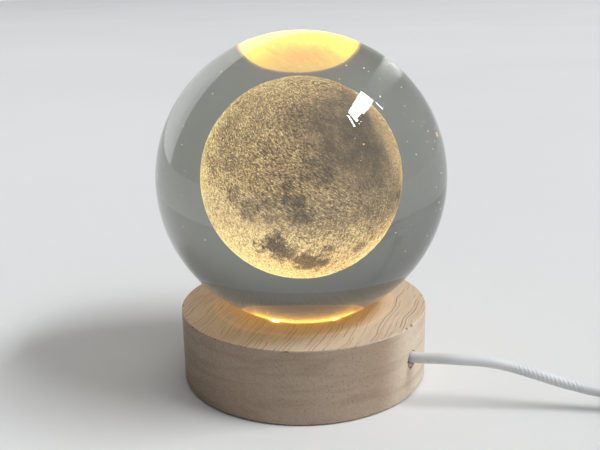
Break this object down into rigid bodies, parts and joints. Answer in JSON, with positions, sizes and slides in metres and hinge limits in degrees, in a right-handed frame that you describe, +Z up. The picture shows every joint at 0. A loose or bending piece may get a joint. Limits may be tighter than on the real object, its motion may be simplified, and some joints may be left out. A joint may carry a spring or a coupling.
{
  "type": "crystal ball lamp",
  "caption": "Night lamp with a clear crystal ball, engraved inside with a moon, standing on a lit round wooden base with a white cord, hand switch and charger plug.",
  "frame": {"origin": "on the table, under the middle of the round base", "axes": "+Z up through the ball, +X from the middle of the base towards the drilled cord hole"},
  "size_m": [0.1974, 0.0864, 0.0975],
  "materials": {
    "beech": "fine sanded, oiled",
    "board_white": "white solder mask",
    "led_case": "moulded",
    "led_lens": "yellow phosphor gel, lit",
    "chip_black": "black chip with tinned ends",
    "solder": "bright tin",
    "wire_red": "PVC",
    "wire_black": "PVC",
    "screw_steel": "nickel plated",
    "cover_plastic": "fine moulded texture",
    "pad_foam": "closed cell foam",
    "tie_nylon": "natural nylon",
    "cord_white": "soft matt PVC",
    "crystal": "polished",
    "engraving": "frosted points of the engraving, lit warm",
    "switch_white": "moulded ABS",
    "brass_strip": "stamped",
    "switch_wire": "PVC",
    "twist_tie": "plastic coated wire",
    "plug_white": "soft moulded PVC",
    "plug_steel": "nickel plated steel",
    "plug_insert": "moulded",
    "contact_gold": "gold flashed"
  },
  "bodies": {
    "base": {"wooden_base": "beech", "led_board": "board_white", "led_packages": "led_case", "led_lenses": "led_lens", "board_resistors": "chip_black", "solder_joints": "solder", "wire_positive": "wire_red", "wire_negative": "wire_black", "board_screws": "screw_steel", "cover_screws": "screw_steel", "switch_screws": "screw_steel", "bottom_cover": "cover_plastic", "non_slip_pad": "pad_foam", "strain_tie": "tie_nylon", "cord_inner": "cord_white", "cord_lead": "cord_white", "switch_cord_ends": "cord_white", "cord_link": "cord_white", "cord_coil": "cord_white", "cord_tail": "cord_white", "switch_lower_shell": "switch_white", "switch_upper_shell": "switch_white", "switch_contacts": "brass_strip", "switch_wires": "switch_wire", "coil_tie": "twist_tie", "plug_grip": "plug_white", "plug_shell": "plug_steel", "plug_tongue": "plug_insert", "plug_contacts": "contact_gold"},
    "ball": {"crystal_ball": "crystal", "moon_engraving": "engraving"},
    "rocker": {"switch_rocker": "switch_white", "switch_bridge": "brass_strip"}
  },
  "joints": [
    {"name": "ball_lift", "type": "slide", "parent": "base", "child": "ball", "axis": [0, 0, 1], "range_m": [0, 0.06]},
    {"name": "rocker_turn", "type": "hinge", "parent": "base", "child": "rocker", "pos_m": [0.10777, 0.03204, 0.0079], "axis": [0.4384, -0.8988, 0], "range_deg": [0, 14]}
  ]
}
